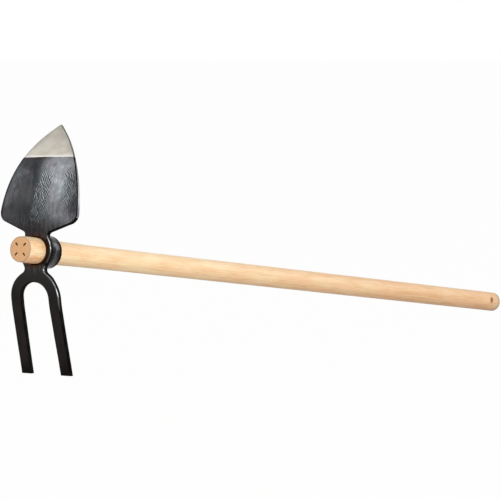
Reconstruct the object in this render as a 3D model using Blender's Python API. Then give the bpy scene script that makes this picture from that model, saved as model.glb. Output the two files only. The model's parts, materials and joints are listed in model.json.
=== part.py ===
# Double hoe: a forged head, with a heart-shaped blade above the eye and a
# two-tine fork below it, jammed on the swollen end of a turned wooden handle.
# Metres, +Z up. The tool stands as it does on a bench: on both tine ends and
# the butt of the handle, with the head at the -X end.

import math

import bpy
import bmesh
from mathutils import Matrix, Vector

# Driving dimensions of the handle
HANDLE_LENGTH = 1.000
SHAFT_RADIUS = 0.01185
SWELL_RADIUS = 0.0138
SWELL_LENGTH = 0.020
FLARE_LENGTH = 0.045
NOSE_ROUND = 0.0005
NOSE_EASE = 0.0004
NOSE_EASE_LENGTH = 0.004
BUTT_ROUND = 0.0024
FLARE_STATIONS = (0.026, 0.032, 0.039, 0.047, 0.056, 0.067, 0.082, 0.102, 0.130, 0.175)
SEAT_STATIONS = (0.003, 0.007, 0.013, SWELL_LENGTH)
HANG_HOLE_RADIUS = 0.0034
HANG_HOLE_FROM_BUTT = 0.023
HANG_HOLE_ABOVE_AXIS = 0.0014

# Marks that the lathe's four-pronged drive centre leaves in the end grain
PRONG_LENGTH = 0.0044
PRONG_WIDTH = 0.0014
PRONG_DEPTH = 0.0018
PRONG_PITCH_RADIUS = 0.0073

# How the head sits on the handle, and how the tool stands
HEAD_FROM_NOSE = 0.0250
SEAT_GAP = 0.0003
STANCE_SLOPE = math.radians(7.02)

# Outline of the flat blank that the head is bent from: half widths and
# heights from the eye's axis, each corner with the radius that rounds it
BLADE_TIP = (0.0, 0.1408, 0.0026)
BLADE_SWELL = (0.0469, 0.0932, 0.139)
BLADE_SHOULDER = (0.0504, 0.0324, 0.011)
UPPER_NECK = (0.0131, 0.0184, 0.004)
EYE_FLANGE = (0.0234, 0.0015, 0.0205)
LOWER_NECK = (0.0114, -0.0206, 0.0045)
FORK_SHOULDER = (0.0311, -0.0340, 0.030)
TINE_FOOT_OUTER = (0.0323, -0.1460, 0.0)
TINE_FOOT_INNER = (0.0192, -0.1460, 0.0)
FORK_CROTCH = (0.0170, -0.0329, 0.0168)

# Forging: thickness of the stock, how far the blade is drawn out thinner
# towards its tip and its sides, its crown, which fades towards the tip, the
# chamfer round every face, and the bevel ground on the front of the tip
STOCK = 0.0055
BLADE_SPINE = 0.0028
BLADE_EDGE = 0.0022
TINE_TIP = 0.0048
THINNED_FROM = 0.014
THINNED_AT = 0.135
TINE_THINNED_FROM = 0.040
TINE_THINNED_AT = 0.130
NECK_STOUTER = 0.0022
NECK_STOUT_RISE = (0.0130, 0.0190)
NECK_STOUT_FALL = (0.0235, 0.0340)
BLADE_CROWN = 0.0030
CROWNED_AT = 0.050
CROWN_FADE = 0.6
CROWN_FADE_FROM = 0.080
RIM_CHAMFER = 0.0008
BEVEL_WIDTH = 0.0020
BEVEL_DROP = 0.0003
GROUND_FROM = 0.0965
GROUND_AT = 0.1025

# Bending: both ends of the head curve back towards the user
BLADE_BEND_START = 0.0140
BLADE_BEND_RADIUS = 0.250
FORK_BEND_START = 0.0132
FORK_BEND_RADIUS = 0.142
FORK_BEND_ANGLE = 0.361

# Collar drawn out behind the eye
COLLAR_REAR = 0.0245
COLLAR_NECK_RADIUS = 0.0172
COLLAR_BARREL_RADIUS = 0.0178
COLLAR_FILLET = 0.0018
COLLAR_RIM_ROUND = 0.0012
COLLAR_BARREL_EASE = 0.00015
FILLET_SINK = 0.0001
EYE_MOUTH_ROUND = 0.0016
BORE_STATIONS = (0.007, 0.014, 0.022)
BORE_RUN_OUT = 0.003

# Fineness of the curves
TURNED_SIDES = 48
HANG_HOLE_SIDES = 20
SHARP_ANGLE = math.radians(35)
ARC_TOLERANCE = 0.00003
SHORTEST_EDGE = 0.0012
HEIGHT_STEP = 0.0055
HEIGHT_LIMIT = 0.138
WIDTH_STEP = 0.0075
WIDTH_LIMIT = 0.045


def new_object(name, mesh_data, parent=None):
    """An object that holds a finished bmesh."""
    mesh = bpy.data.meshes.new(name)
    mesh_data.to_mesh(mesh)
    mesh_data.free()
    item = bpy.data.objects.new(name, mesh)
    bpy.context.collection.objects.link(item)
    item.parent = parent
    return item


def tool_shape(name, mesh_data, parent=None):
    """An object that only cuts or joins another one."""
    item = new_object(name, mesh_data, parent)
    item.hide_render = True
    item.display_type = "WIRE"
    return item


def join_shape(target, shape, operation):
    """Add or cut one shape on a target with a Boolean modifier."""
    modifier = target.modifiers.new(f"{operation.title()} {shape.name}", "BOOLEAN")
    modifier.operation = operation
    modifier.solver = "EXACT"
    modifier.object = shape


def material(name, colour, roughness, metallic):
    """A plain Principled finish."""
    finish = bpy.data.materials.new(name)
    finish.use_nodes = True
    shader = finish.node_tree.nodes["Principled BSDF"]
    shader.inputs["Base Color"].default_value = (*colour, 1.0)
    shader.inputs["Roughness"].default_value = roughness
    shader.inputs["Metallic"].default_value = metallic
    finish.diffuse_color = (*colour, 1.0)
    return finish


def smooth_step(value, low, high):
    """0 below low, 1 above high, with an eased rise between them."""
    share = min(max((value - low) / (high - low), 0.0), 1.0)
    return share * share * (3.0 - 2.0 * share)


def arc(centre, radius, start, end, steps):
    """Points along an arc, both ends included."""
    points = []
    for i in range(steps + 1):
        angle = start + (end - start) * i / steps
        points.append((centre[0] + radius * math.cos(angle), centre[1] + radius * math.sin(angle)))
    return points


def turned(profile):
    """A solid turned about X from a profile of (x, radius) that starts and ends on the axis."""
    bm = bmesh.new()
    verts = [bm.verts.new((x, 0.0, radius)) for x, radius in profile]
    edges = [bm.edges.new(pair) for pair in zip(verts, verts[1:])]
    bmesh.ops.spin(
        bm,
        geom=verts + edges,
        cent=(0.0, 0.0, 0.0),
        axis=(1.0, 0.0, 0.0),
        angle=math.tau,
        steps=TURNED_SIDES,
        use_merge=True,
    )
    bmesh.ops.remove_doubles(bm, verts=bm.verts, dist=1e-6)
    bmesh.ops.recalc_face_normals(bm, faces=bm.faces)
    return bm


# Handle

def handle_radius(x):
    """Radius of the turned handle at a distance from its nose."""
    swell = math.exp(-max(x - SWELL_LENGTH, 0.0) / FLARE_LENGTH)
    ease = NOSE_EASE * math.exp(-x / NOSE_EASE_LENGTH)
    return SHAFT_RADIUS + (SWELL_RADIUS - SHAFT_RADIUS) * swell - ease


def nose_radius():
    """Radius where the nose's rounded rim meets the swollen seat."""
    return handle_radius(NOSE_ROUND)


def handle_profile():
    """Nose, swollen seat, flare, straight shaft and domed butt."""
    profile = [(0.0, 0.0)]
    profile += arc((NOSE_ROUND, nose_radius() - NOSE_ROUND), NOSE_ROUND, math.pi, math.pi / 2, 2)
    profile += [(x, handle_radius(x)) for x in SEAT_STATIONS + FLARE_STATIONS]
    butt_centre = (HANDLE_LENGTH - BUTT_ROUND, SHAFT_RADIUS - BUTT_ROUND)
    profile += arc(butt_centre, BUTT_ROUND, math.pi / 2, 0.0, 5)
    profile.append((HANDLE_LENGTH, 0.0))
    return profile


def drive_marks():
    """Four short radial slots in the nose, crossed like an X."""
    bm = bmesh.new()
    for quarter in range(4):
        place = Matrix.Rotation(math.radians(45 + 90 * quarter), 4, "X")
        place = place @ Matrix.Translation((0.0, PRONG_PITCH_RADIUS, 0.0))
        place = place @ Matrix.Diagonal((2 * PRONG_DEPTH, PRONG_LENGTH, PRONG_WIDTH, 1.0))
        bmesh.ops.create_cube(bm, size=1.0, matrix=place)
    return bm


def hanging_hole():
    """Drill for the hole that a nail or a cord goes through, along Y."""
    bm = bmesh.new()
    place = Matrix.Translation((HANDLE_LENGTH - HANG_HOLE_FROM_BUTT, 0.0, HANG_HOLE_ABOVE_AXIS))
    bmesh.ops.create_cone(
        bm,
        cap_ends=True,
        segments=HANG_HOLE_SIDES,
        radius1=HANG_HOLE_RADIUS,
        radius2=HANG_HOLE_RADIUS,
        depth=4 * SHAFT_RADIUS,
        matrix=place @ Matrix.Rotation(math.pi / 2, 4, "X"),
    )
    return bm


def make_handle(parent):
    """Turned beech handle, one piece from nose to butt."""
    handle = new_object("handle", turned(handle_profile()), parent)
    join_shape(handle, tool_shape("drive_mark_cutter", drive_marks(), parent), "DIFFERENCE")
    join_shape(handle, tool_shape("hang_hole_cutter", hanging_hole(), parent), "DIFFERENCE")
    handle.data.materials.append(material("turned_beech", (0.80, 0.56, 0.32), 0.55, 0.0))
    return handle


# Forged head

def rounded_outline(corners):
    """Closed outline through corners (y, z, radius), with an arc in place of each corner."""
    points = []
    for i, (y, z, radius) in enumerate(corners):
        corner = Vector((y, z))
        if radius == 0.0:
            points.append(corner)
            continue
        before = (Vector(corners[i - 1][:2]) - corner).normalized()
        after = (Vector(corners[(i + 1) % len(corners)][:2]) - corner).normalized()
        half_angle = before.angle(after) / 2
        centre = corner + (before + after).normalized() * (radius / math.sin(half_angle))
        spoke = corner + before * (radius / math.tan(half_angle)) - centre
        turn = math.copysign(math.pi - 2 * half_angle, after.cross(before))
        step = 2 * math.acos(1.0 - ARC_TOLERANCE / radius)
        steps = math.ceil(abs(turn) / step)
        if points and (points[-1] - centre - spoke).length < SHORTEST_EDGE:
            points.pop()
        for k in range(steps + 1):
            points.append(centre + Matrix.Rotation(turn * k / steps, 2) @ spoke)
    return points


def blank_corners():
    """Corners of the whole blank: the +Y half from the tip down, then its mirror image."""
    half = [
        BLADE_SWELL,
        BLADE_SHOULDER,
        UPPER_NECK,
        EYE_FLANGE,
        LOWER_NECK,
        FORK_SHOULDER,
        TINE_FOOT_OUTER,
        TINE_FOOT_INNER,
        FORK_CROTCH,
    ]
    mirrored = [(-y, z, radius) for y, z, radius in reversed(half)]
    return [BLADE_TIP] + half + mirrored


def edge_distance(y, z):
    """Distance in from the blade's curved cutting edge, in the flat blank."""
    tip = Vector(BLADE_TIP[:2])
    corner = Vector(BLADE_SWELL[:2])
    foot = Vector(BLADE_SHOULDER[:2])
    up = (tip - corner).normalized()
    down = (foot - corner).normalized()
    half_angle = up.angle(down) / 2
    centre = corner + (up + down).normalized() * (BLADE_SWELL[2] / math.sin(half_angle))
    point = Vector((abs(y), z))
    along = (point - corner).dot(up)
    if along > BLADE_SWELL[2] / math.tan(half_angle):
        return (corner + up * along - point).length
    return BLADE_SWELL[2] - (point - centre).length


def drawn_thickness(y, z):
    """Thickness of the forging at a point of the blank."""
    if z < 0.0:
        stout = smooth_step(-z, *NECK_STOUT_RISE) - smooth_step(-z, *NECK_STOUT_FALL)
        thinned = smooth_step(-z, TINE_THINNED_FROM, TINE_THINNED_AT)
        return STOCK + NECK_STOUTER * stout + (TINE_TIP - STOCK) * thinned
    share = min(abs(y) / BLADE_SHOULDER[0], 1.0)
    blade = BLADE_SPINE + (BLADE_EDGE - BLADE_SPINE) * share * share
    return STOCK + (blade - STOCK) * smooth_step(z, THINNED_FROM, THINNED_AT)


def bent(depth, z, start, radius, limit):
    """Point at a depth behind the front face, with the flat height z rolled round an arc."""
    length = max(z - start, 0.0)
    angle = min(length / radius, limit)
    rest = length - radius * angle
    x = radius * (1.0 - math.cos(angle)) + rest * math.sin(angle)
    height = min(z, start) + radius * math.sin(angle) + rest * math.cos(angle)
    return x + depth * math.cos(angle), height - depth * math.sin(angle)


def forged(point):
    """Place of a point of the flat blank in the drawn, crowned, ground and bent head."""
    depth, y, z = point
    depth *= drawn_thickness(y, z) / STOCK
    if z > 0.0:
        share = min(abs(y) / BLADE_SHOULDER[0], 1.0)
        crown = BLADE_CROWN * smooth_step(z, THINNED_FROM, CROWNED_AT)
        crown *= 1.0 - CROWN_FADE * smooth_step(z, CROWN_FADE_FROM, BLADE_TIP[1])
        depth -= crown * (1.0 - share * share)
        front = 1.0 - smooth_step(point.x, 0.0, STOCK)
        ground = smooth_step(z, GROUND_FROM, GROUND_AT) * max(1.0 - edge_distance(y, z) / BEVEL_WIDTH, 0.0)
        depth += BEVEL_DROP * ground * front
        x, height = bent(depth, z, BLADE_BEND_START, BLADE_BEND_RADIUS, math.pi / 2)
        return Vector((x, y, height))
    x, height = bent(depth, -z, FORK_BEND_START, FORK_BEND_RADIUS, FORK_BEND_ANGLE)
    return Vector((x, y, -height))


def chamfer_face_rim(bm, face):
    """Raise a face in one slanting inset, so that its rim has a chamfer."""
    bmesh.ops.inset_region(
        bm, faces=[face], thickness=RIM_CHAMFER, depth=RIM_CHAMFER, use_even_offset=True
    )


def cut_grid(bm, direction, limit, step):
    """Cut the blank by a row of parallel planes, so that it can bend."""
    count = round(limit / step)
    for i in range(-count, count + 1):
        place = Vector(direction) * (limit * i / count)
        geometry = bm.verts[:] + bm.edges[:] + bm.faces[:]
        bmesh.ops.bisect_plane(bm, geom=geometry, dist=1e-6, plane_co=place, plane_no=direction)


def head_blank():
    """Flat blank of blade, eye flange and fork, with chamfered rims, ready to be forged."""
    bm = bmesh.new()
    outline = rounded_outline(blank_corners())
    back = bm.faces.new([bm.verts.new((STOCK - RIM_CHAMFER, p.x, p.y)) for p in outline])
    if back.normal.x < 0.0:
        back.normal_flip()
    wall = bmesh.ops.extrude_face_region(bm, geom=[back], use_keep_orig=True)
    front = next(item for item in wall["geom"] if isinstance(item, bmesh.types.BMFace))
    bmesh.ops.translate(bm, verts=front.verts, vec=(2 * RIM_CHAMFER - STOCK, 0.0, 0.0))
    bmesh.ops.recalc_face_normals(bm, faces=bm.faces)
    chamfer_face_rim(bm, back)
    chamfer_face_rim(bm, front)
    bmesh.ops.inset_region(
        bm, faces=[front], thickness=BEVEL_WIDTH - RIM_CHAMFER, depth=0.0, use_even_offset=True
    )
    return bm


def floor_height():
    """Height of the floor under the nose's centre, set by the lowest point of the butt."""
    reach = (HANDLE_LENGTH - BUTT_ROUND) * math.sin(STANCE_SLOPE)
    return -reach - (SHAFT_RADIUS - BUTT_ROUND) * math.cos(STANCE_SLOPE) - BUTT_ROUND


def trim_feet(bm):
    """Cut both tines off level with the floor that the tool stands on."""
    down = Vector((math.sin(STANCE_SLOPE), 0.0, -math.cos(STANCE_SLOPE)))
    place = -down * floor_height() - Vector((HEAD_FROM_NOSE, 0.0, 0.0))
    geometry = bm.verts[:] + bm.edges[:] + bm.faces[:]
    cut = bmesh.ops.bisect_plane(
        bm, geom=geometry, dist=1e-6, plane_co=place, plane_no=down, clear_outer=True
    )
    rims = [item for item in cut["geom_cut"] if isinstance(item, bmesh.types.BMEdge)]
    bmesh.ops.edgenet_fill(bm, edges=rims)


def collar_profile():
    """Solid collar behind the eye: fillet at the flange, slight barrel, rounded rim."""
    root = STOCK - FILLET_SINK
    middle = (root + COLLAR_FILLET + COLLAR_REAR) / 2
    fillet_centre = (root + COLLAR_FILLET, COLLAR_NECK_RADIUS + COLLAR_FILLET)
    rim_centre = (COLLAR_REAR - COLLAR_RIM_ROUND, COLLAR_NECK_RADIUS - COLLAR_RIM_ROUND)
    profile = [(STOCK / 3, 0.0), (STOCK / 3, fillet_centre[1])]
    profile += arc(fillet_centre, COLLAR_FILLET, -math.pi, -math.pi / 2, 4)
    eased = COLLAR_BARREL_RADIUS - COLLAR_BARREL_EASE
    profile.append(((fillet_centre[0] + middle) / 2, eased))
    profile.append((middle, COLLAR_BARREL_RADIUS))
    profile.append(((rim_centre[0] + middle) / 2, eased))
    profile += arc(rim_centre, COLLAR_RIM_ROUND, math.pi / 2, 0.0, 3)
    profile.append((COLLAR_REAR, 0.0))
    return profile


def bore_profile():
    """Cutter for the tapered eye, which follows the swollen handle at an even gap."""
    def bore(x):
        return handle_radius(HEAD_FROM_NOSE + x) + SEAT_GAP

    mouth_centre = (EYE_MOUTH_ROUND, bore(0.0) + EYE_MOUTH_ROUND)
    run_out = COLLAR_REAR + BORE_RUN_OUT
    profile = [(-BORE_RUN_OUT, 0.0), (-BORE_RUN_OUT, mouth_centre[1])]
    profile += arc(mouth_centre, EYE_MOUTH_ROUND, -math.pi, -math.pi / 2, 3)
    profile += [(x, bore(x)) for x in (*BORE_STATIONS, run_out)]
    profile.append((run_out, 0.0))
    return profile


def make_head(parent):
    """Forged head: blank cut out, gridded, forged to shape, then collar and eye."""
    bm = head_blank()
    cut_grid(bm, (0.0, 0.0, 1.0), HEIGHT_LIMIT, HEIGHT_STEP)
    cut_grid(bm, (0.0, 1.0, 0.0), WIDTH_LIMIT, WIDTH_STEP)
    for vert in bm.verts:
        vert.co = forged(vert.co)
    trim_feet(bm)
    bmesh.ops.recalc_face_normals(bm, faces=bm.faces)
    head = new_object("forged_head", bm, parent)
    head.location.x = HEAD_FROM_NOSE
    collar = tool_shape("collar_stock", turned(collar_profile()), parent)
    bore = tool_shape("eye_cutter", turned(bore_profile()), parent)
    for shape in (collar, bore):
        shape.location.x = HEAD_FROM_NOSE
    join_shape(head, collar, "UNION")
    join_shape(head, bore, "DIFFERENCE")
    head.data.materials.append(material("lacquered_steel", (0.035, 0.038, 0.045), 0.35, 0.6))
    return head


def stance():
    """Empty that leans the tool so that it stands, centred over the origin."""
    slope = STANCE_SLOPE
    nose = -(nose_radius() - NOSE_ROUND) * math.sin(slope)
    butt = (HANDLE_LENGTH - BUTT_ROUND) * math.cos(slope)
    butt += (SHAFT_RADIUS - BUTT_ROUND) * math.sin(slope) + BUTT_ROUND
    frame = bpy.data.objects.new("stance", None)
    bpy.context.collection.objects.link(frame)
    frame.location = (-(nose + butt) / 2, 0.0, -floor_height())
    frame.rotation_euler.y = slope
    return frame


def main():
    """Clear the scene and build the tool."""
    for item in list(bpy.data.objects):
        bpy.data.objects.remove(item, do_unlink=True)
    frame = stance()
    for piece in (make_head(frame), make_handle(frame)):
        for polygon in piece.data.polygons:
            polygon.use_smooth = True
        piece.data.set_sharp_from_angle(angle=SHARP_ANGLE)


main()
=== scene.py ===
# Double hoe, seen from the front left as it stands on both tine ends and the
# butt of its handle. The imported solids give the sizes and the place; this
# script gives the forging and the turned handle their fine shape and finish.

import json
import math

import bmesh
import bpy
from mathutils import Euler, Matrix, Vector, noise


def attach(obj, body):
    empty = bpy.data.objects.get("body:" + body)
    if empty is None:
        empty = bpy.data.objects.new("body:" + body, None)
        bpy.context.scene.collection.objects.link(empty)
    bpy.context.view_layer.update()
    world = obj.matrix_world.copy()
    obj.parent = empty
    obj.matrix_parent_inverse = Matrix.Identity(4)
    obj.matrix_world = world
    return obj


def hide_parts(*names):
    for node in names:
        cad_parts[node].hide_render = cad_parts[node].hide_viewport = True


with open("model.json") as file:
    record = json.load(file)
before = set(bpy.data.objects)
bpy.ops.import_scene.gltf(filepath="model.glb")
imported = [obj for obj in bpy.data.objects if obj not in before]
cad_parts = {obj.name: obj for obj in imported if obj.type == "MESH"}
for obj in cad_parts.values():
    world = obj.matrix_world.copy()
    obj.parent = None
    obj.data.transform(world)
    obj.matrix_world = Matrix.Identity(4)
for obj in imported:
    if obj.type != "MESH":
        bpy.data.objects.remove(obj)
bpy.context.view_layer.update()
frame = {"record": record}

# Camera
# A long lens a little above the tool, a third of the way round from the front
# of the head towards its right side, so that the handle recedes to the right.
CAMERA_PLACE = (-3.07656, -2.00736, 0.34143)
CAMERA_HEADING = math.radians(33.72)
CAMERA_DIP = math.radians(3.67)
CAMERA_ROLL = math.radians(-0.129)
CAMERA_LENS = 228.0

camera_data = bpy.data.cameras.new("camera")
camera_data.lens = CAMERA_LENS
camera_data.sensor_width = 36.0
camera_data.clip_end = 100.0
camera = bpy.data.objects.new("camera", camera_data)
bpy.context.collection.objects.link(camera)
aim = Euler((math.pi / 2 - CAMERA_DIP, 0.0, CAMERA_HEADING - math.pi / 2)).to_matrix().to_4x4()
camera.matrix_world = Matrix.Translation(CAMERA_PLACE) @ aim @ Matrix.Rotation(CAMERA_ROLL, 4, "Z")
bpy.context.scene.camera = camera

# Stance
# Both pieces are made along the handle, x from its nose and z up through the
# blade. The nose's mount says where that line starts and how far it slopes.
nose_mount = next(m for m in frame["record"]["mounts"] if m["name"] == "nose_end")
along = -Vector(nose_mount["axis"])
across = Vector((0.0, 1.0, 0.0))
stance = Matrix((along, across, along.cross(across))).transposed().to_4x4()
stance.translation = nose_mount["pos_m"]

# Forged head
# One piece of steel, drop forged: a heart-shaped blade above the eye, a fork
# of two tines below it and a collar drawn out behind. It is bent back at both
# ends, dipped in blue-black lacquer, and the blade's tip is then ground bright.
HEAD_FROM_NOSE = 0.0250
STOCK = 0.0055
RIM_CHAMFER = 0.0008
RIM_ROUND = 0.0002

# Outline of the flat blank, +Y half: half width, height from the eye's axis
# and the radius that rounds the corner, from the blade's tip down
BLADE_TIP = (0.0, 0.1408, 0.0026)
BLADE_SWELL = (0.0469, 0.0932, 0.139)
BLADE_SHOULDER = (0.05034, 0.0324, 0.011)
UPPER_NECK = (0.0131, 0.0184, 0.004)
EYE_FLANGE = (0.0234, 0.0015, 0.0205)
LOWER_NECK = (0.0114, -0.0206, 0.0045)
FORK_SHOULDER = (0.0311, -0.0340, 0.030)
TINE_FOOT_OUTER = (0.0323, -0.1460, 0.0)
TINE_FOOT_INNER = (0.0192, -0.1460, 0.0)
FORK_CROTCH = (0.0170, -0.0329, 0.0168)
ARC_TOLERANCE = 0.00001
SHORTEST_EDGE = 0.0002
TOUCH_DISTANCE = 1e-6

# Drawing out, crown and bends
BLADE_SPINE = 0.0028
BLADE_EDGE = 0.0022
TINE_TIP = 0.0048
THINNED_FROM = 0.014
THINNED_AT = 0.135
CROWNED_AT = 0.050
TINE_THINNED_FROM = 0.040
TINE_THINNED_AT = 0.130
NECK_STOUTER = 0.0022
NECK_STOUT_RISE = (0.0130, 0.0190)
NECK_STOUT_FALL = (0.0235, 0.0340)
BLADE_CROWN = 0.0030
CROWN_FADE = 0.6
CROWN_FADE_FROM = 0.080
BLADE_BEND_START = 0.0140
BLADE_BEND_RADIUS = 0.250
FORK_BEND_START = 0.0132
FORK_BEND_RADIUS = 0.142
FORK_BEND_ANGLE = 0.361

# Grinding of the tip: a shallow flat on both faces above a slightly slanting
# line, and on the front a bevel along the cutting edge
GROUND_HEIGHT = 0.1000
GROUND_SLANT = -0.0320
GROUND_RAMP = 0.0016
GROUND_RAMP_CUTS = 5
GROUND_DEPTH = 0.00014
BEVEL_WIDTH = 0.0050
BEVEL_DROP = 0.0004

# Edges that can take the rubbed steel finish, which also carries painted highlights: the blade's sheared
# sides, and the chamfers from the neck down
SHEARED_OUTSIDE = 0.034
SHEARED_FROM = 0.036
RUBBED_HIGHLIT_BELOW = 0.026

# Unevenness that the hammer leaves: patch size and height, broad and fine, the
# steps through the noise that keep these and both faces apart, and the
# distances from the eye's axis between which it sets in
BROAD_PATCH = 0.026
BROAD_HEIGHT = 0.00022
FINE_PATCH = 0.007
FINE_HEIGHT = 0.00005
SIDE_STEP = 0.1
FINE_STEP = 0.05
SMOOTH_ROUND_EYE = (0.018, 0.026)

# The head's finishes in the order of its slots, and how far a face's normal
# lies along X where the face counts as flat or as a side wall
LACQUERED, GROUND, RUBBED_HIGHLIT, DARK_SHADE = range(4)
FLAT_FROM = 0.98
WALL_UNTIL = 0.05

# Grid cut into the blank, and the distance below which its points merge
GRID_STEP = 0.0022
GRID_HALF_WIDTH = 0.050
GRID_HALF_HEIGHT = 0.140
MERGE_DISTANCE = 0.00004


def smooth_step(value, low, high):
    """0 below low, 1 above high, with an eased rise between them."""
    share = min(max((value - low) / (high - low), 0.0), 1.0)
    return share * share * (3.0 - 2.0 * share)


def rounded_outline(corners):
    """Closed outline through corners (y, z, radius), with an arc in place of each corner."""
    points = []
    for i, (y, z, radius) in enumerate(corners):
        corner = Vector((y, z))
        if radius == 0.0:
            points.append(corner)
            continue
        before = (Vector(corners[i - 1][:2]) - corner).normalized()
        after = (Vector(corners[(i + 1) % len(corners)][:2]) - corner).normalized()
        half_angle = before.angle(after) / 2
        centre = corner + (before + after).normalized() * (radius / math.sin(half_angle))
        spoke = corner + before * (radius / math.tan(half_angle)) - centre
        turn = math.copysign(math.pi - 2 * half_angle, after.cross(before))
        steps = math.ceil(abs(turn) / (2 * math.acos(1.0 - ARC_TOLERANCE / radius)))
        if points and (points[-1] - centre - spoke).length < SHORTEST_EDGE:
            points.pop()
        for k in range(steps + 1):
            points.append(centre + Matrix.Rotation(turn * k / steps, 2) @ spoke)
    return points


def edge_distance(y, z):
    """Distance in from the blade's curved cutting edge, in the flat blank."""
    tip = Vector(BLADE_TIP[:2])
    corner = Vector(BLADE_SWELL[:2])
    up = (tip - corner).normalized()
    down = (Vector(BLADE_SHOULDER[:2]) - corner).normalized()
    half_angle = up.angle(down) / 2
    centre = corner + (up + down).normalized() * (BLADE_SWELL[2] / math.sin(half_angle))
    point = Vector((abs(y), z))
    reach = (point - corner).dot(up)
    if reach > BLADE_SWELL[2] / math.tan(half_angle):
        return (corner + up * reach - point).length
    return BLADE_SWELL[2] - (point - centre).length


def drawn_thickness(y, z):
    """Thickness of the forging at a point of the blank."""
    if z < 0.0:
        stout = smooth_step(-z, *NECK_STOUT_RISE) - smooth_step(-z, *NECK_STOUT_FALL)
        thinned = smooth_step(-z, TINE_THINNED_FROM, TINE_THINNED_AT)
        return STOCK + NECK_STOUTER * stout + (TINE_TIP - STOCK) * thinned
    share = min(abs(y) / BLADE_SHOULDER[0], 1.0)
    blade = BLADE_SPINE + (BLADE_EDGE - BLADE_SPINE) * share * share
    return STOCK + (blade - STOCK) * smooth_step(z, THINNED_FROM, THINNED_AT)


def hammered(y, z, side):
    """Height of the hammer's unevenness on the front (side 0) or the back (side 1)."""
    broad = noise.noise(Vector((y, z, side * SIDE_STEP)) / BROAD_PATCH)
    fine = noise.noise(Vector((y, z, side * SIDE_STEP + FINE_STEP)) / FINE_PATCH)
    return BROAD_HEIGHT * broad + FINE_HEIGHT * fine


def ground_share(y, z):
    """0 on the lacquered part of the blade, 1 on its ground tip."""
    line = GROUND_HEIGHT + GROUND_SLANT * y
    return smooth_step(z, line, line + GROUND_RAMP)


def bent(depth, z, start, radius, limit):
    """Point at a depth behind the front face, with the flat height z rolled round an arc."""
    length = max(z - start, 0.0)
    angle = min(length / radius, limit)
    rest = length - radius * angle
    x = radius * (1.0 - math.cos(angle)) + rest * math.sin(angle)
    height = min(z, start) + radius * math.sin(angle) + rest * math.cos(angle)
    return x + depth * math.cos(angle), height - depth * math.sin(angle)


def forged(point):
    """Place of a point of the flat blank in the drawn, crowned, ground and bent head."""
    back = smooth_step(point.x, 0.0, STOCK)
    depth, y, z = point
    depth *= drawn_thickness(y, z) / STOCK
    away_from_eye = smooth_step(Vector((y, z)).length, *SMOOTH_ROUND_EYE)
    ground = ground_share(y, z)
    rough = away_from_eye * (1.0 - ground)
    depth += rough * ((1.0 - back) * hammered(y, z, 0) + back * hammered(y, z, 1))
    if z <= 0.0:
        x, height = bent(depth, -z, FORK_BEND_START, FORK_BEND_RADIUS, FORK_BEND_ANGLE)
        return Vector((x, y, -height))
    share = min(abs(y) / BLADE_SHOULDER[0], 1.0)
    crown = BLADE_CROWN * smooth_step(z, THINNED_FROM, CROWNED_AT)
    crown *= 1.0 - CROWN_FADE * smooth_step(z, CROWN_FADE_FROM, BLADE_TIP[1])
    depth -= crown * (1.0 - share * share)
    depth += GROUND_DEPTH * ground * (1.0 - 2.0 * back)
    sharpened = ground * (1.0 - smooth_step(edge_distance(y, z), 0.0, BEVEL_WIDTH))
    depth += BEVEL_DROP * sharpened * (1.0 - back)
    x, height = bent(depth, z, BLADE_BEND_START, BLADE_BEND_RADIUS, math.pi / 2)
    return Vector((x, y, height))


def bisect(bm, place, direction, clear_outer=False):
    """Cut edges into the whole mesh where a plane crosses it; gives what lies on the cut."""
    result = bmesh.ops.bisect_plane(
        bm,
        geom=bm.verts[:] + bm.edges[:] + bm.faces[:],
        dist=TOUCH_DISTANCE,
        plane_co=place,
        plane_no=direction,
        clear_outer=clear_outer,
    )
    return result["geom_cut"]


def bevel(bm, edges, width, segments):
    """Round or chamfer edges; gives the new faces."""
    result = bmesh.ops.bevel(
        bm,
        geom=edges,
        offset=width,
        offset_type="OFFSET",
        segments=segments,
        profile=0.5,
        affect="EDGES",
        material=-1,
    )
    return set(result["faces"])


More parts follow.
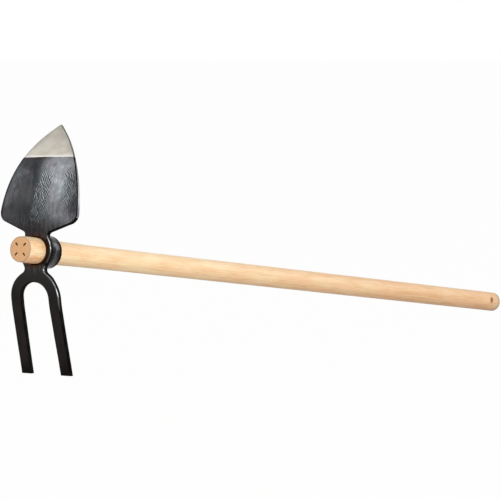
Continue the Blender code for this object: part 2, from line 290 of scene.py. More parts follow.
def head_blank():
    """Flat blank of blade, flange and fork with chamfered edges, cut into a fine grid."""
    half = [
        BLADE_SWELL,
        BLADE_SHOULDER,
        UPPER_NECK,
        EYE_FLANGE,
        LOWER_NECK,
        FORK_SHOULDER,
        TINE_FOOT_OUTER,
        TINE_FOOT_INNER,
        FORK_CROTCH,
    ]
    mirrored = [(-y, z, radius) for y, z, radius in reversed(half)]
    outline = rounded_outline([BLADE_TIP] + half + mirrored)
    bm = bmesh.new()
    back = bm.faces.new([bm.verts.new((STOCK, p.x, p.y)) for p in outline])
    wall = bmesh.ops.extrude_face_region(bm, geom=[back], use_keep_orig=True)
    front = next(item for item in wall["geom"] if isinstance(item, bmesh.types.BMFace))
    bmesh.ops.translate(bm, verts=front.verts, vec=(-STOCK, 0.0, 0.0))
    bmesh.ops.recalc_face_normals(bm, faces=bm.faces)
    rims = list(front.edges) + list(back.edges)
    chamfer = bevel(bm, rims, RIM_CHAMFER, 1)
    corners = [edge for edge in bm.edges if sum(face in chamfer for face in edge.link_faces) == 1]
    bevel(bm, corners, RIM_ROUND, 2)
    broad = sorted(bm.faces, key=lambda face: face.calc_area())[-2:]
    bmesh.ops.inset_region(bm, faces=broad, thickness=RIM_ROUND, depth=0.0, use_even_offset=True)
    count = round(GRID_HALF_HEIGHT / GRID_STEP)
    for i in range(-count, count + 1):
        bisect(bm, (0.0, 0.0, GRID_HALF_HEIGHT * i / count), (0.0, 0.0, 1.0))
    count = round(GRID_HALF_WIDTH / GRID_STEP)
    for i in range(-count, count + 1):
        bisect(bm, (0.0, GRID_HALF_WIDTH * i / count, 0.0), (0.0, 1.0, 0.0))
    for i in range(GROUND_RAMP_CUTS + 1):
        height = GROUND_HEIGHT + GROUND_RAMP * i / GROUND_RAMP_CUTS
        bisect(bm, (0.0, 0.0, height), (0.0, -GROUND_SLANT, 1.0))
    bmesh.ops.remove_doubles(bm, verts=bm.verts, dist=MERGE_DISTANCE)
    return bm


def mark_finishes(bm):
    """Number each face's finish: lacquer, ground tip, rubbed edge with painted highlights, or dark edge
    painted as shade.
    """
    for face in bm.faces:
        _, y, z = face.calc_center_median()
        upright = abs(face.normal.x)
        sheared = abs(y) > SHEARED_OUTSIDE and SHEARED_FROM < z < GROUND_HEIGHT
        if upright > FLAT_FROM and z > GROUND_HEIGHT + GROUND_SLANT * y:
            face.material_index = GROUND
        elif upright > FLAT_FROM:
            face.material_index = LACQUERED
        elif upright < WALL_UNTIL:
            face.material_index = RUBBED_HIGHLIT if sheared else DARK_SHADE
        else:
            face.material_index = RUBBED_HIGHLIT if z < RUBBED_HIGHLIT_BELOW else DARK_SHADE


head_bm = head_blank()
mark_finishes(head_bm)
for vert in head_bm.verts:
    vert.co = forged(vert.co) + Vector((HEAD_FROM_NOSE, 0.0, 0.0))
head_bm.transform(stance)
feet = bisect(head_bm, (0.0, 0.0, 0.0), (0.0, 0.0, -1.0), clear_outer=True)
feet_rims = [item for item in feet if isinstance(item, bmesh.types.BMEdge)]
bmesh.ops.edgenet_fill(head_bm, edges=feet_rims)
bmesh.ops.recalc_face_normals(head_bm, faces=head_bm.faces)

# Collar and eye of the head
# The collar is drawn out of the same steel behind the flange. The eye tapers
# through both and follows the swollen handle at an even gap.
COLLAR_START = STOCK / 3
COLLAR_REAR = 0.0245
COLLAR_NECK_RADIUS = 0.0172
COLLAR_BARREL_RADIUS = 0.0178
COLLAR_BARREL_EASE = 0.00015
COLLAR_FILLET = 0.0018
COLLAR_RIM_ROUND = 0.0012
COLLAR_SHADE_FROM = 0.0200
FILLET_SINK = 0.0001
EYE_MOUTH_ROUND = 0.0016
SEAT_GAP = 0.0003
BORE_RUN_OUT = 0.003
SWELL_RADIUS = 0.0138
SHAFT_RADIUS = 0.01185
SWELL_LENGTH = 0.020
FLARE_LENGTH = 0.045
NOSE_EASE = 0.0004
NOSE_EASE_LENGTH = 0.004
TURNED_SIDES = 128
FILLET_STEPS = 8
ROUND_STEPS = 6
BORE_STEPS = 6
SHARP_FROM = math.radians(40)


def handle_radius(x):
    """Radius of the turned handle at a distance from its nose."""
    swell = math.exp(-max(x - SWELL_LENGTH, 0.0) / FLARE_LENGTH)
    ease = NOSE_EASE * math.exp(-x / NOSE_EASE_LENGTH)
    return SHAFT_RADIUS + (SWELL_RADIUS - SHAFT_RADIUS) * swell - ease


def arc(centre, radius, start, end, steps):
    """Points along an arc, both ends included."""
    points = []
    for i in range(steps + 1):
        angle = start + (end - start) * i / steps
        points.append((centre[0] + radius * math.cos(angle), centre[1] + radius * math.sin(angle)))
    return points


def turned(profile, axis="X"):
    """A solid turned from a profile of (place on the axis, radius) that starts and ends on the axis."""
    bm = bmesh.new()
    verts = [bm.verts.new((place, 0.0, radius)) for place, radius in profile]
    edges = [bm.edges.new(pair) for pair in zip(verts, verts[1:])]
    bmesh.ops.spin(
        bm,
        geom=verts + edges,
        cent=(0.0, 0.0, 0.0),
        axis=(1.0, 0.0, 0.0),
        angle=math.tau,
        steps=TURNED_SIDES,
        use_merge=True,
    )
    bmesh.ops.remove_doubles(bm, verts=bm.verts, dist=TOUCH_DISTANCE)
    bmesh.ops.recalc_face_normals(bm, faces=bm.faces)
    if axis == "Y":
        bm.transform(Matrix.Rotation(math.pi / 2, 4, "Z"))
    return bm


def collar_profile():
    """Solid collar behind the eye: fillet at the flange, slight barrel, rounded rim."""
    root = STOCK - FILLET_SINK
    middle = (root + COLLAR_FILLET + COLLAR_REAR) / 2
    fillet_centre = (root + COLLAR_FILLET, COLLAR_NECK_RADIUS + COLLAR_FILLET)
    rim_centre = (COLLAR_REAR - COLLAR_RIM_ROUND, COLLAR_NECK_RADIUS - COLLAR_RIM_ROUND)
    eased = COLLAR_BARREL_RADIUS - COLLAR_BARREL_EASE
    profile = [(COLLAR_START, 0.0), (COLLAR_START, fillet_centre[1])]
    profile += arc(fillet_centre, COLLAR_FILLET, -math.pi, -math.pi / 2, FILLET_STEPS)
    profile.append(((fillet_centre[0] + middle) / 2, eased))
    profile.append((middle, COLLAR_BARREL_RADIUS))
    profile.append(((rim_centre[0] + middle) / 2, eased))
    profile += arc(rim_centre, COLLAR_RIM_ROUND, math.pi / 2, 0.0, ROUND_STEPS)
    profile.append((COLLAR_REAR, 0.0))
    return profile


def bore_profile():
    """Cutter for the tapered eye, with a rounded mouth in the front face."""
    mouth_radius = handle_radius(HEAD_FROM_NOSE) + SEAT_GAP + EYE_MOUTH_ROUND
    run_out = COLLAR_REAR + BORE_RUN_OUT
    profile = [(-BORE_RUN_OUT, 0.0), (-BORE_RUN_OUT, mouth_radius)]
    mouth_centre = (EYE_MOUTH_ROUND, mouth_radius)
    profile += arc(mouth_centre, EYE_MOUTH_ROUND, -math.pi, -math.pi / 2, ROUND_STEPS)
    for i in range(1, BORE_STEPS + 1):
        x = EYE_MOUTH_ROUND + (run_out - EYE_MOUTH_ROUND) * i / BORE_STEPS
        profile.append((x, handle_radius(HEAD_FROM_NOSE + x) + SEAT_GAP))
    profile.append((run_out, 0.0))
    return profile


def placed(name, bm, place):
    """An object whose mesh is moved to its place in the frame."""
    bm.transform(place)
    mesh = bpy.data.meshes.new(name)
    bm.to_mesh(mesh)
    bm.free()
    item = bpy.data.objects.new(name, mesh)
    bpy.context.collection.objects.link(item)
    return item


def machined(item, steps):
    """Join shapes to a piece or cut them out of it, keep only the finished piece and shade it smooth."""
    for operation, shape in steps:
        modifier = item.modifiers.new(shape.name, "BOOLEAN")
        modifier.operation = operation
        modifier.solver = "EXACT"
        modifier.object = shape
    bpy.context.view_layer.update()
    result = item.evaluated_get(bpy.context.evaluated_depsgraph_get())
    finished = bpy.data.meshes.new_from_object(result)
    item.modifiers.clear()
    item.data = finished
    for _, shape in steps:
        bpy.data.objects.remove(shape, do_unlink=True)
    for polygon in finished.polygons:
        polygon.use_smooth = True
    finished.set_sharp_from_angle(angle=SHARP_FROM)


class Value:
    """A node's output that can be used in arithmetic, so that shader maths reads as a formula."""

    def __init__(self, socket):
        self.socket = socket

    def node(self, kind, settings, inputs, output=0):
        """Another node of the same material: its settings first, then its sockets."""
        made = self.socket.id_data.nodes.new(kind)
        for name, value in settings.items():
            setattr(made, name, value)
        for name, value in inputs.items():
            if isinstance(value, Value):
                self.socket.id_data.links.new(value.socket, made.inputs[name])
            else:
                made.inputs[name].default_value = value
        return Value(made.outputs[output])

    def math(self, operation, *values):
        """One step of a formula."""
        return self.node("ShaderNodeMath", {"operation": operation}, dict(enumerate(values)))

    def __add__(self, other):
        return self.math("ADD", self, other)

    __radd__ = __add__

    def __mul__(self, other):
        return self.math("MULTIPLY", self, other)

    __rmul__ = __mul__

    def __sub__(self, other):
        return self.math("SUBTRACT", self, other)

    def __rsub__(self, other):
        return self.math("SUBTRACT", other, self)

    def rising(self, low, high):
        """0 at low, 1 at high, eased between them and level beyond; low may be the larger."""
        inputs = {"Value": self, "From Min": low, "From Max": high}
        return self.node("ShaderNodeMapRange", {"interpolation_type": "SMOOTHSTEP"}, inputs)

    def axes(self):
        """The three numbers of a vector."""
        split = self.node("ShaderNodeSeparateXYZ", {}, {0: self})
        return [Value(output) for output in split.socket.node.outputs]

    def noise(self, patch, detail=2.0, roughness=0.5, distortion=0.0):
        """Noise from 0 to 1 whose patches have a size in metres along x, y and z."""
        scaled = self.node("ShaderNodeVectorMath", {"operation": "DIVIDE"}, {0: self, 1: patch})
        inputs = {"Vector": scaled, "Scale": 1.0, "Detail": detail, "Roughness": roughness}
        return self.node("ShaderNodeTexNoise", {}, {**inputs, "Distortion": distortion})

    def away(self, place, stretch):
        """Distance from a place, each axis stretched by its own factor."""
        near = self.node("ShaderNodeVectorMath", {"operation": "SUBTRACT"}, {0: self, 1: place})
        near = self.node("ShaderNodeVectorMath", {"operation": "MULTIPLY"}, {0: near, 1: stretch})
        return self.node("ShaderNodeVectorMath", {"operation": "LENGTH"}, {0: near}, "Value")

    def blend(self, low, high, mode="MIX"):
        """One colour that turns into another, or is multiplied by it, as this value goes from 0 to 1."""
        settings = {"data_type": "RGBA", "blend_type": mode}
        return self.node("ShaderNodeMix", settings, {0: self, 6: low, 7: high}, 2)

    def stain(self, colour, tint):
        """A colour multiplied by a tint as this value goes from 0 to 1."""
        return self.blend(colour, (*tint, 1.0), "MULTIPLY")

    def bump(self):
        """Normals raised by this height in metres."""
        return self.node("ShaderNodeBump", {}, {"Height": self, "Distance": 1.0, "Strength": 1.0})

    def into(self, socket):
        """Feed one of the shader's own sockets."""
        self.socket.id_data.links.new(self.socket, socket)


# Height of the ground line on the blade once it is bent, where it crosses the middle
GROUND_BEND = (GROUND_HEIGHT - BLADE_BEND_START) / BLADE_BEND_RADIUS
GROUND_LINE = BLADE_BEND_START + BLADE_BEND_RADIUS * math.sin(GROUND_BEND)

# Circle that the blade's left edge follows as seen from the front, its middle given as (y, z), and how
# far in the painted shade along it, a dark outline, starts and is full
LEFT_EDGE_MIDDLE = (-0.0779, 0.0344)
LEFT_EDGE_RADIUS = 0.1279
LEFT_EDGE_SHADE = (-0.0036, -0.0024)

# Clouds on the blade, painted highlight and shade in place of reflections: share, middle and half axes,
# the last two as (y, z)
PAINTED_HIGHLIGHT_CLOUDS = (
    (0.55, (0.0270, 0.0580), (0.0180, 0.0240)),
    (0.50, (0.0380, 0.0390), (0.0120, 0.0140)),
    (0.50, (-0.0140, 0.0965), (0.0130, 0.0070)),
    (0.60, (0.0125, 0.0570), (0.0065, 0.0160)),
    (0.45, (-0.0350, 0.0480), (0.0090, 0.0140)),
    (0.35, (0.0320, 0.0930), (0.0080, 0.0100)),
)
PAINTED_SHADE_CLOUDS = (
    (0.60, (0.0095, 0.0390), (0.0160, 0.0140)),
    (0.55, (-0.0040, 0.0320), (0.0240, 0.0100)),
    (0.35, (0.0010, 0.0810), (0.0060, 0.0160)),
    (0.30, (-0.0110, 0.0660), (0.0100, 0.0140)),
    (0.30, (0.0350, 0.0460), (0.0040, 0.0120)),
    (0.25, (0.0290, 0.0460), (0.0160, 0.0140)),
)

# Height at which a slanting patch's middle is given, and its softness upwards
PATCH_PIVOT = 0.060
PATCH_SOFTNESS = 0.010

# Heights of the relief that only shading shows
DIE_MARK_HEIGHT = 0.00008
DIMPLE_HEIGHT = 0.00004
SKIN_HEIGHT = 0.00022
SCRATCH_HEIGHT = 0.00002


def new_finish(name):
    """A material, its shader's sockets, and the place in the tool's own coordinates to paint by."""
    finish = bpy.data.materials.new(name)
    finish.use_nodes = True
    tree = finish.node_tree
    place = Value(tree.nodes.new("ShaderNodeTexCoord").outputs["Object"])
    mapping = {"Vector": place, "Location": stance.translation, "Rotation": stance.to_euler()}
    tool = place.node("ShaderNodeMapping", {"vector_type": "TEXTURE"}, mapping)
    return finish, tree.nodes["Principled BSDF"].inputs, tool


def from_axis(tool):
    """Distance from the handle's axis."""
    return tool.away((0.0, 0.0, 0.0), (0.0, 1.0, 1.0))


def die_marks(tool, lean, pitch, length):
    """Hatching in the blade's plane, leaning to one side and broken into strokes: -0.5 to 0.5."""
    x, y, z = tool.axes()
    over = y * math.cos(lean) + z * math.sin(lean)
    aside = z * math.cos(lean) - y * math.sin(lean)
    turned_place = tool.node("ShaderNodeCombineXYZ", {}, {0: x, 1: over, 2: aside})
    waver = turned_place.noise((0.02, 0.012, 0.007), detail=1.0)
    phase = (aside * (1.0 / pitch) + waver * 2.0) * math.tau
    stroke = turned_place.noise((0.02, length, 1.5 * pitch), detail=1.0).rising(0.38, 0.60)
    return phase.math("SINE", phase) * stroke * 0.5


def patch_mask(tool, middle, slant, half_width, low, high):
    """Soft-edged patch of the blade: a band round a slanting line, between two heights."""
    _, y, z = tool.axes()
    offset = y - middle - (z - PATCH_PIVOT) * slant
    width = offset.rising(-half_width, -half_width / 2) - offset.rising(half_width / 2, half_width)
    return width * (z.rising(low, low + PATCH_SOFTNESS) - z.rising(high - PATCH_SOFTNESS, high))


def clouds(tool, rows):
    """Sum of soft-edged ovals on the blade, each as strong in its middle as its share says."""
    total = 0.0
    for share, middle, (half_width, half_height) in rows:
        outward = tool.away((0.0, *middle), (0.0, 1.0 / half_width, 1.0 / half_height))
        total = total + share * (1.0 - outward.rising(0.25, 1.0))
    return total


def left_edge_shade(tool):
    """Painted shade along the blade's left edge, a dark outline, fading towards the tip."""
    _, _, z = tool.axes()
    outward = tool.away((0.0, *LEFT_EDGE_MIDDLE), (0.0, 1.0, 1.0)) - LEFT_EDGE_RADIUS
    return outward.rising(*LEFT_EDGE_SHADE) * (z.rising(0.020, 0.034) - 0.7 * z.rising(0.068, 0.088))


def graphite(tool):
    """The blade's lacquer between its clouds: two tints, streaked upwards and mottled."""
    cloud = tool.noise((0.02, 0.009, 0.022), detail=4.0).rising(0.35, 0.68)
    tint = tool.noise((0.02, 0.016, 0.030), detail=2.0).rising(0.40, 0.62)
    streak = tool.noise((0.02, 0.0026, 0.026), detail=3.0, distortion=0.4).rising(0.42, 0.68)
    purple = cloud.blend((0.047, 0.047, 0.051, 1.0), (0.062, 0.061, 0.066, 1.0))
    teal = cloud.blend((0.044, 0.050, 0.051, 1.0), (0.057, 0.063, 0.065, 1.0))
    paint = tint.blend(purple, teal)
    paint = (streak * 0.50).blend(paint, (0.034, 0.036, 0.040, 1.0))
    mottle = tool.noise((0.02, 0.0042, 0.0056), detail=3.0, roughness=0.6, distortion=0.5)
    paint = (mottle.rising(0.50, 0.68) * 0.55).blend(paint, (0.082, 0.083, 0.092, 1.0))
    return (mottle.rising(0.50, 0.34) * 0.50).blend(paint, (0.031, 0.032, 0.036, 1.0))


def blade_paint(tool):
    """Graphite with pale and dark clouds and bands of painted highlight and shade, a painted dark
    outline on its left edge, the heat tint by the ground tip and die marks; and the marks' height.
    """
    _, y, z = tool.axes()
    line = GROUND_LINE - 0.0005
    heat = (z - GROUND_SLANT * y).rising(line - 0.004, line)
    heat = heat * (y.rising(-0.009, -0.001) - y.rising(0.014, 0.026))
    paint = (heat * 0.65).blend(graphite(tool), (0.030, 0.026, 0.022, 1.0))
    # Painted highlight: pale clouds that brighten the blade where its reflections are stronger.
    paint = clouds(tool, PAINTED_HIGHLIGHT_CLOUDS).blend(paint, (0.085, 0.087, 0.092, 1.0))
    # Painted shade: a dark band beside the mirrored soft box, dark clouds, and a strip inside the right
    # edge.
    painted_shade = 0.60 * patch_mask(tool, 0.0030, 0.278, 0.0070, 0.062, 0.098) + clouds(tool, PAINTED_SHADE_CLOUDS)
    painted_shade = painted_shade + 0.12 * patch_mask(tool, -0.0405, 0.247, 0.0040, 0.044, 0.098)
    paint = painted_shade.blend(paint, (0.018, 0.022, 0.023, 1.0))
    # Painted shade: a dark outline along the blade's left edge.
    paint = (left_edge_shade(tool) * 0.80).blend(paint, (0.008, 0.008, 0.009, 1.0))
    patches = patch_mask(tool, -0.003, -0.15, 0.0115, 0.026, 0.086)
    patches = patches + 0.50 * patch_mask(tool, -0.036, 0.17, 0.0075, 0.044, 0.092)
    paint = (patches * 0.55).blend(paint, (0.030, 0.036, 0.038, 1.0))
    relief = die_marks(tool, math.radians(53), 0.0022, 0.008)
    relief = (relief + 0.6 * die_marks(tool, math.radians(118), 0.0026, 0.006)) * patches
    paint = (relief.rising(0.0, -0.40) * 0.45).blend(paint, (0.018, 0.019, 0.021, 1.0))
    return (relief.rising(0.0, 0.40) * 0.50).blend(paint, (0.145, 0.148, 0.153, 1.0)), relief


def dark_paint(tool):
    """Near-black lacquer of the fork, a little paler above its arch, and darkest at its feet as painted
    shadow.
    """
    _, _, z = tool.axes()
    cloud = tool.noise((0.02, 0.009, 0.022), detail=3.0).rising(0.35, 0.68)
    paint = cloud.blend((0.0140, 0.0118, 0.0108, 1.0), (0.0195, 0.0170, 0.0158, 1.0))
    # Painted shadow: the tines darken towards their feet on the floor.
    paint = z.rising(-0.105, -0.133).blend(paint, (0.0048, 0.0038, 0.0034, 1.0))
    crown = z.rising(-0.056, -0.024) * (1.0 - 0.6 * z.rising(-0.014, 0.010))
    return crown.blend(paint, (0.0240, 0.0230, 0.0225, 1.0))


def shaded_edge_paint(tool):
    """Uneven black of the edges, painted shade that draws them as dark outlines, and dull steel round
    the tip.
    """
    _, y, z = tool.axes()
    cloud = tool.noise((0.006, 0.006, 0.012), detail=3.0).rising(0.35, 0.68)
    black = cloud.blend((0.0028, 0.0026, 0.0025, 1.0), (0.0080, 0.0075, 0.0074, 1.0))
    tip = (z - GROUND_SLANT * y).rising(GROUND_LINE - 0.0005, GROUND_LINE + 0.0005)
    return tip.blend(black, (0.125, 0.119, 0.108, 1.0))


def lacquered_steel():
    """Lacquer over forged steel: graphite with a metal sheen above, near black below, with painted
    reflection and shade round the eye and on the collar.
    """
    finish, shader, tool = new_finish("lacquered_steel")
    x, _, z = tool.axes()
    blade = z.rising(0.014, 0.050)
    sheen_paint, relief = blade_paint(tool)
    paint = blade.rising(0.0, 0.75).blend(dark_paint(tool), sheen_paint)
    off_axis = from_axis(tool)
    # Painted reflection and shade: dark brown round the eye's mouth, for the wood mirrored in it and the
    # shade inside.
    mouth_reflection_shade = (1.0 - off_axis.rising(0.0155, 0.0195)) * (1.0 - x.rising(0.0262, 0.0275))
    paint = mouth_reflection_shade.blend(paint, (0.027, 0.010, 0.005, 1.0))
    barrel = 1.0 - off_axis.rising(0.0182, 0.0190)
    paint = (barrel * x.rising(0.0308, 0.0316)).blend(paint, (0.0120, 0.0115, 0.0120, 1.0))
    # Painted reflection: a paler streaked band round the collar's barrel, as if a tall bright strip were
    # mirrored there.
    painted_reflection_band = barrel * (x.rising(0.0345, 0.0380) - x.rising(0.0390, 0.0430))
    painted_reflection_band = painted_reflection_band * tool.noise((0.0030, 0.008, 0.008), detail=3.0).rising(0.30, 0.58)
    painted_reflection_band.blend(paint, (0.078, 0.077, 0.086, 1.0)).into(shader["Base Color"])
    dimple = tool.noise((0.004, 0.0035, 0.0045), detail=2.0)
    forged_skin = tool.noise((0.007, 0.004, 0.012), detail=2.0) * (1.0 - blade)
    height = relief * DIE_MARK_HEIGHT + dimple * DIMPLE_HEIGHT + forged_skin * SKIN_HEIGHT
    height.bump().into(shader["Normal"])
    speck = tool.noise((0.0012, 0.0012, 0.0012), detail=2.0).rising(0.50, 0.75)
    (0.10 + 0.05 * speck + 0.09 * (1.0 - blade)).into(shader["Roughness"])
    shader["Metallic"].default_value = 0.80
    shader["IOR"].default_value = 1.15
    return finish


def rubbed_edge_highlight():
    """Edges whose -Y side is rubbed to the steel at the fork's shoulder, the flange and the blade;
    partly wear, partly a painted highlight kept to the lit side.
    """
    finish, shader, tool = new_finish("rubbed_edge_highlight")
    _, y, z = tool.axes()
    # Painted highlight: these stretches sit and fade where the lamps' highlights fall, and only on the
    # lit -Y side.
    shoulder = z.rising(-0.064, -0.044) * (1.0 - z.rising(-0.018, -0.014))
    flange = z.rising(-0.013, -0.010) * (0.25 + 0.75 * z.rising(-0.001, 0.008))
    flange = flange * (1.0 - z.rising(0.0120, 0.0180))
    blade = z.rising(0.030, 0.036) * (0.85 - 0.25 * z.rising(0.050, 0.080))
    rubbed_highlight = (1.0 - y.rising(-0.009, -0.004)) * (shoulder * 0.72 + flange + blade)
    rubbed_highlight.blend(shaded_edge_paint(tool), (0.225, 0.228, 0.236, 1.0)).into(shader["Base Color"])
    (rubbed_highlight * 0.9).into(shader["Metallic"])
    shader["Roughness"].default_value = 0.18
    shader["IOR"].default_value = 1.04
    return finish


def dark_edge_shade():
    """Matt black of the blank's other edges and of the collar's rear, painted shade that keeps them dark
    outlines.
    """
    finish, shader, tool = new_finish("dark_edge_shade")
    shaded_edge_paint(tool).into(shader["Base Color"])
    shader["Roughness"].default_value = 0.50
    shader["IOR"].default_value = 1.06
    return finish


def ground_steel():
    """Bare steel off the grinding wheel: fine scratches across, burnished where the wheel stops."""
    finish, shader, tool = new_finish("ground_steel")
    _, y, z = tool.axes()
    height = z - GROUND_SLANT * y
    burnished = height.rising(GROUND_LINE - 0.0002, GROUND_LINE)
    burnished = burnished * (1.0 - height.rising(GROUND_LINE + 0.001, GROUND_LINE + 0.0035))
    tone = tool.noise((0.02, 0.016, 0.010), detail=3.0).rising(0.3, 0.7)
    scratch = tool.noise((0.02, 0.030, 0.0005), detail=3.0)
    steel = tone.blend((0.345, 0.322, 0.278, 1.0), (0.42, 0.397, 0.352, 1.0))
    steel = burnished.blend(steel, (0.60, 0.58, 0.55, 1.0))
    steel.into(shader["Base Color"])
    shader["Metallic"].default_value = 1.0
    (0.44 + 0.10 * scratch).into(shader["Roughness"])
    (scratch * SCRATCH_HEIGHT).bump().into(shader["Normal"])
    return finish


head_place = stance @ Matrix.Translation((HEAD_FROM_NOSE, 0.0, 0.0))
head = placed("head", head_bm, Matrix.Identity(4))
for finish in (lacquered_steel(), ground_steel(), rubbed_edge_highlight(), dark_edge_shade()):
    head.data.materials.append(finish)
collar_bm = turned(collar_profile())
# The collar's rear takes the dark edge finish: painted shade in place of the light its rounded rim would
# catch.
for face in collar_bm.faces:
    face.material_index = DARK_SHADE if face.calc_center_median().x > COLLAR_SHADE_FROM else LACQUERED
collar = placed("collar", collar_bm, head_place)
bore = placed("bore", turned(bore_profile()), head_place)
machined(head, [("UNION", collar), ("DIFFERENCE", bore)])
shading = head.modifiers.new("shading", "WEIGHTED_NORMAL")
shading.keep_sharp = True
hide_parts("forged_head")
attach(head, "root")

# Handle
# Turned from one straight-grained beech blank. The head slides on over the
# butt and jams on the swollen end. The nose keeps the marks of the lathe's drive
# centre, and the butt has a hole to hang the tool by.
HANDLE_LENGTH = 0.99997
NOSE_ROUND = 0.0006
NOSE_STEPS = 5
BUTT_ROUND = 0.0026
BUTT_STEPS = 10
HANG_HOLE_RADIUS = 0.0034
HANG_HOLE_PLACE = (HANDLE_LENGTH - 0.023, 0.0, 0.0014)
HANG_HOLE_SINK = 0.0010
HANG_HOLE_REACH = 1.1 * SHAFT_RADIUS
PRONG_LENGTH = 0.0048
PRONG_WIDTH = 0.0021
PRONG_DEPTH = 0.0018
PRONG_TAPER = 0.70
PRONG_PITCH_RADIUS = 0.0073
STATION_COUNT = 90
STATION_CROWDING = 2.6

# Width of the yearly rings, and heights of the grain that only shading shows
RING_WIDTH = 0.0021
FIBRE_HEIGHT = 0.00003
LATE_WOOD_HEIGHT = 0.00002
FLECK_DEPTH = 0.00003


def handle_profile():
    """Nose, swollen seat, flare, straight shaft and domed butt, with stations crowded at the nose."""
    nose_radius = handle_radius(NOSE_ROUND)
    profile = [(0.0, 0.0), (0.0, nose_radius / 2)]
    nose_centre = (NOSE_ROUND, nose_radius - NOSE_ROUND)
    profile += arc(nose_centre, NOSE_ROUND, math.pi, math.pi / 2, NOSE_STEPS)
    first = 2 * NOSE_ROUND
    last = HANDLE_LENGTH - 2 * BUTT_ROUND
    for i in range(STATION_COUNT + 1):
        x = first + (last - first) * (i / STATION_COUNT) ** STATION_CROWDING
        profile.append((x, handle_radius(x)))
    butt_centre = (HANDLE_LENGTH - BUTT_ROUND, SHAFT_RADIUS - BUTT_ROUND)
    profile += arc(butt_centre, BUTT_ROUND, math.pi / 2, 0.0, BUTT_STEPS)
    profile += [(HANDLE_LENGTH, SHAFT_RADIUS / 2), (HANDLE_LENGTH, 0.0)]
    return profile


def drive_marks():
    """Four tapered slots in the nose, crossed like an X."""
    bm = bmesh.new()
    for quarter in range(4):
        turn = Matrix.Rotation(math.radians(45 + 90 * quarter), 4, "X")
        place = turn @ Matrix.Translation((0.0, PRONG_PITCH_RADIUS, 0.0))
        size = Matrix.Diagonal((2 * PRONG_DEPTH, PRONG_LENGTH, PRONG_WIDTH, 1.0))
        prong = bmesh.ops.create_cube(bm, size=1.0, matrix=place @ size)["verts"]
        deep = [vert for vert in prong if vert.co.x > 0.0]
        narrower = (1.0, PRONG_TAPER, PRONG_TAPER)
        from_middle = Matrix.Translation(-place.translation)
        bmesh.ops.scale(bm, verts=deep, vec=narrower, space=from_middle)
    return bm


def hanging_hole():
    """Drill along Y with a countersink at both ends."""
    sunk = HANG_HOLE_RADIUS + HANG_HOLE_SINK
    waist = SHAFT_RADIUS - HANG_HOLE_SINK
    half = [(waist, HANG_HOLE_RADIUS), (HANG_HOLE_REACH, sunk), (HANG_HOLE_REACH, 0.0)]
    return turned([(-place, radius) for place, radius in reversed(half)] + half, axis="Y")


def beech_grain(tool):
    """Late wood of yearly rings sawn through at a slant, long fibres and short flecks: 0 to 1 each."""
    drift = tool.noise((0.25, 0.03, 0.03), detail=2.0)
    from_pith = tool.away((0.0, -0.030, -0.046), (0.012, 1.0, 1.0))
    rings = (from_pith + 0.006 * drift) * (1.0 / RING_WIDTH)
    ring = rings.math("FRACT", rings)
    late_wood = ring.rising(0.45, 0.92) * (1.0 - ring.rising(0.93, 1.0))
    fibre = tool.noise((0.060, 0.0011, 0.0011), detail=4.0, roughness=0.6).rising(0.32, 0.70)
    fleck = tool.noise((0.0120, 0.0010, 0.0010), detail=2.0).rising(0.60, 0.74)
    return late_wood, fibre, fleck


def plain_beech(tool):
    """Colour of the wood without its grain: browner towards the butt, partly as painted fall-off of the
    light; bruised in front of the eye, with painted shade under the stub.
    """
    x, _, z = tool.axes()
    band = tool.noise((0.16, 0.0050, 0.0050), detail=2.0).rising(0.35, 0.68)
    near = band.blend((0.930, 0.745, 0.495, 1.0), (0.905, 0.690, 0.430, 1.0))
    far = band.blend((0.860, 0.595, 0.350, 1.0), (0.810, 0.530, 0.290, 1.0))
    # Darker and browner towards the butt: partly the wood's own tone, partly painted fall-off of the
    # light along the handle.
    colour = x.rising(0.10, 0.95).blend(near, far)
    blush = tool.noise((0.060, 0.010, 0.010), detail=3.0).rising(0.40, 0.62)
    colour = blush.stain(colour, (0.98, 0.88, 0.84))
    dull = tool.noise((0.026, 0.0036, 0.0036), detail=3.0).rising(0.50, 0.64)
    colour = dull.stain(colour, (0.95, 0.92, 0.86))
    stub = 1.0 - x.rising(0.018, 0.045)
    bruise = tool.noise((0.0045, 0.0032, 0.0032), detail=3.0).rising(0.46, 0.66)
    colour = (bruise * stub).stain(colour, (0.94, 0.82, 0.74))
    # Painted shade: the stub darker and pinker on its underside.
    stub_underside_shade = 1.0 - z.rising(-0.011, -0.004)
    return (stub_underside_shade * stub).stain(colour, (0.98, 0.82, 0.76))


def beech_marks_and_shade(tool, colour):
    """The wood's colour with its dark slots, painted shade in its hole, a bluish grey ring at the butt's
    rim and a darker grey ring round the nose's rim.
    """
    x, _, _ = tool.axes()
    off_axis = from_axis(tool)
    inside_slot = x.rising(0.0001, 0.0006) * (1.0 - x.rising(0.002, 0.003))
    inside_slot = inside_slot * (1.0 - off_axis.rising(0.0095, 0.0105))
    colour = inside_slot.blend(colour, (0.080, 0.026, 0.010, 1.0))
    off_hole = tool.away(HANG_HOLE_PLACE, (1.0, 0.0, 1.0))
    # Painted shade inside the hanging hole and its countersinks.
    hole_shade = 1.0 - off_hole.rising(HANG_HOLE_RADIUS, HANG_HOLE_RADIUS + HANG_HOLE_SINK)
    colour = hole_shade.stain(colour, (0.60, 0.60, 0.60))
    bluish_butt_rim = x.rising(HANDLE_LENGTH - 0.0100, HANDLE_LENGTH - 0.0040)
    bluish_butt_rim = bluish_butt_rim * off_axis.rising(0.0075, 0.0110)
    colour = bluish_butt_rim.stain(colour, (0.64, 0.80, 1.0))
    rim = off_axis.rising(0.0122, 0.0128) * (1.0 - x.rising(0.0006, 0.0012))
    return (rim * 0.7).blend(colour, (0.330, 0.255, 0.190, 1.0))


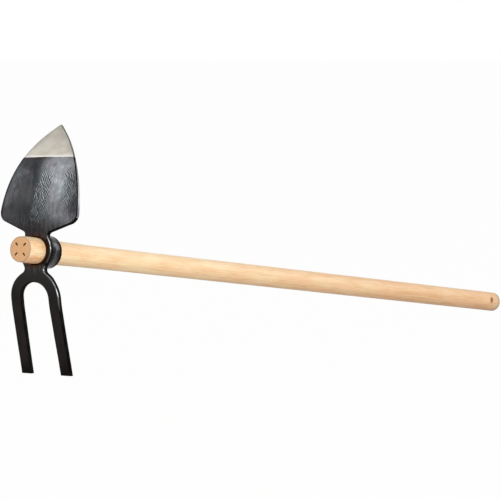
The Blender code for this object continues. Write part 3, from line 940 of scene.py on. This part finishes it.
def turned_beech():
    """Pale beech with its grain, darker end grain at both ends, its slots and tinted rims, and painted
    shade in the hanging hole and under the stub.
    """
    finish, shader, tool = new_finish("turned_beech")
    x, _, _ = tool.axes()
    late_wood, fibre, fleck = beech_grain(tool)
    colour = late_wood.stain(plain_beech(tool), (0.92, 0.88, 0.82))
    colour = fibre.stain(colour, (0.93, 0.90, 0.85))
    colour = fleck.stain(colour, (0.88, 0.82, 0.75))
    end_grain = (1.0 - x.rising(0.0002, 0.0008)) + x.rising(HANDLE_LENGTH - 0.0012, HANDLE_LENGTH)
    end_colour = (late_wood * 0.6).blend((0.680, 0.385, 0.185, 1.0), (0.500, 0.270, 0.125, 1.0))
    colour = end_grain.blend(colour, end_colour)
    beech_marks_and_shade(tool, colour).into(shader["Base Color"])
    roughness = 0.46 + 0.12 * fibre + 0.15 * end_grain
    roughness.into(shader["Roughness"])
    relief = fibre * FIBRE_HEIGHT + late_wood * LATE_WOOD_HEIGHT - fleck * FLECK_DEPTH
    relief.bump().into(shader["Normal"])
    return finish


handle = placed("turned_handle", turned(handle_profile()), stance)
handle.data.materials.append(turned_beech())
prongs = placed("prongs", drive_marks(), stance)
drill = placed("drill", hanging_hole(), stance @ Matrix.Translation(HANG_HOLE_PLACE))
machined(handle, [("DIFFERENCE", prongs), ("DIFFERENCE", drill)])
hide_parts("handle")
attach(handle, "root")

# Studio
# A floor that runs out of sight and shows white, a soft white surround, and
# soft boxes: four that the blade mirrors, a key light low on the right for the
# wood, one for the rubbed edges and one behind for the outline.
WHITE = (1.0, 1.0, 1.0, 1.0)
FLOOR_SIZE = 60.0
FLOOR_COLOUR = (0.54, 0.49, 0.43, 1.0)
FLOOR_GLOW = 0.98
SURROUND_LIGHT = 0.50

floor_bm = bmesh.new()
bmesh.ops.create_grid(floor_bm, x_segments=1, y_segments=1, size=FLOOR_SIZE)
floor = placed("floor", floor_bm, Matrix.Identity(4))


def seen_rays(tree):
    """1 for what the camera sees, directly, mirrored or through clear things; 0 for falling light."""
    rays = tree.nodes.new("ShaderNodeLightPath")
    seen = Value(rays.outputs["Is Camera Ray"]) + Value(rays.outputs["Is Glossy Ray"])
    return seen + Value(rays.outputs["Is Transmission Ray"])


def pale_floor():
    """Pale floor that shows white, but keeps a trace of the object's shadow."""
    finish = bpy.data.materials.new("pale_floor")
    finish.use_nodes = True
    tree = finish.node_tree
    tree.nodes.clear()
    seen = seen_rays(tree)
    plain = seen.node("ShaderNodeBsdfDiffuse", {}, {"Color": FLOOR_COLOUR})
    glow = seen.node("ShaderNodeEmission", {}, {"Color": WHITE, "Strength": 1.0})
    mixed = seen.node("ShaderNodeMixShader", {}, {0: seen * FLOOR_GLOW, 1: plain, 2: glow})
    mixed.into(tree.nodes.new("ShaderNodeOutputMaterial").inputs["Surface"])
    return finish


floor.data.materials.append(pale_floor())

world = bpy.data.worlds.new("surround")
world.use_nodes = True
backdrop = world.node_tree.nodes["Background"].inputs
backdrop["Color"].default_value = WHITE
strength = SURROUND_LIGHT + (1.0 - SURROUND_LIGHT) * seen_rays(world.node_tree)
strength.into(backdrop["Strength"])
bpy.context.scene.world = world


def soft_light(name, target, heading, elevation, lean, distance, size, brightness):
    """A rectangular soft box in a direction from a point: heading from the front towards +Y."""
    width, height = size
    lamp = bpy.data.lights.new(name, "AREA")
    lamp.shape = "RECTANGLE"
    lamp.size = width
    lamp.size_y = height
    lamp.energy = brightness * math.pi * width * height
    item = bpy.data.objects.new(name, lamp)
    bpy.context.collection.objects.link(item)
    level = math.cos(math.radians(elevation))
    direction = Vector((
        -level * math.cos(math.radians(heading)),
        level * math.sin(math.radians(heading)),
        math.sin(math.radians(elevation)),
    ))
    item.location = Vector(target) + distance * direction
    upright = direction.to_track_quat("Z", "Y").to_matrix()
    item.rotation_euler = (upright @ Matrix.Rotation(math.radians(lean), 3, "Z")).to_euler()


BLADE_MIDDLE = (-0.46, 0.0, 0.20)
SHAFT_MIDDLE = (-0.20, 0.0, 0.10)
soft_light("blade_panel", BLADE_MIDDLE, 33.6, 16.5, 10.0, 2.5, (0.43, 1.43), 3.3)
soft_light("blade_upper", BLADE_MIDDLE, 43.2, 37.5, 25.0, 2.4, (0.54, 0.68), 3.9)
soft_light("blade_core", BLADE_MIDDLE, 38.4, 32.0, 28.0, 2.3, (0.34, 0.72), 3.8)
soft_light("blade_side", BLADE_MIDDLE, 58.5, 24.0, 0.0, 2.5, (0.44, 0.74), 1.4)
soft_light("side_key", SHAFT_MIDDLE, -59.0, 9.0, 0.0, 2.6, (1.50, 0.92), 10.9)
soft_light("edge_light", BLADE_MIDDLE, -50.0, 41.0, 0.0, 2.5, (0.45, 0.55), 6.0)
soft_light("back_strip", BLADE_MIDDLE, -152.0, 18.0, 0.0, 2.6, (0.90, 1.30), 3.0)

bpy.context.scene.view_settings.view_transform = "Standard"
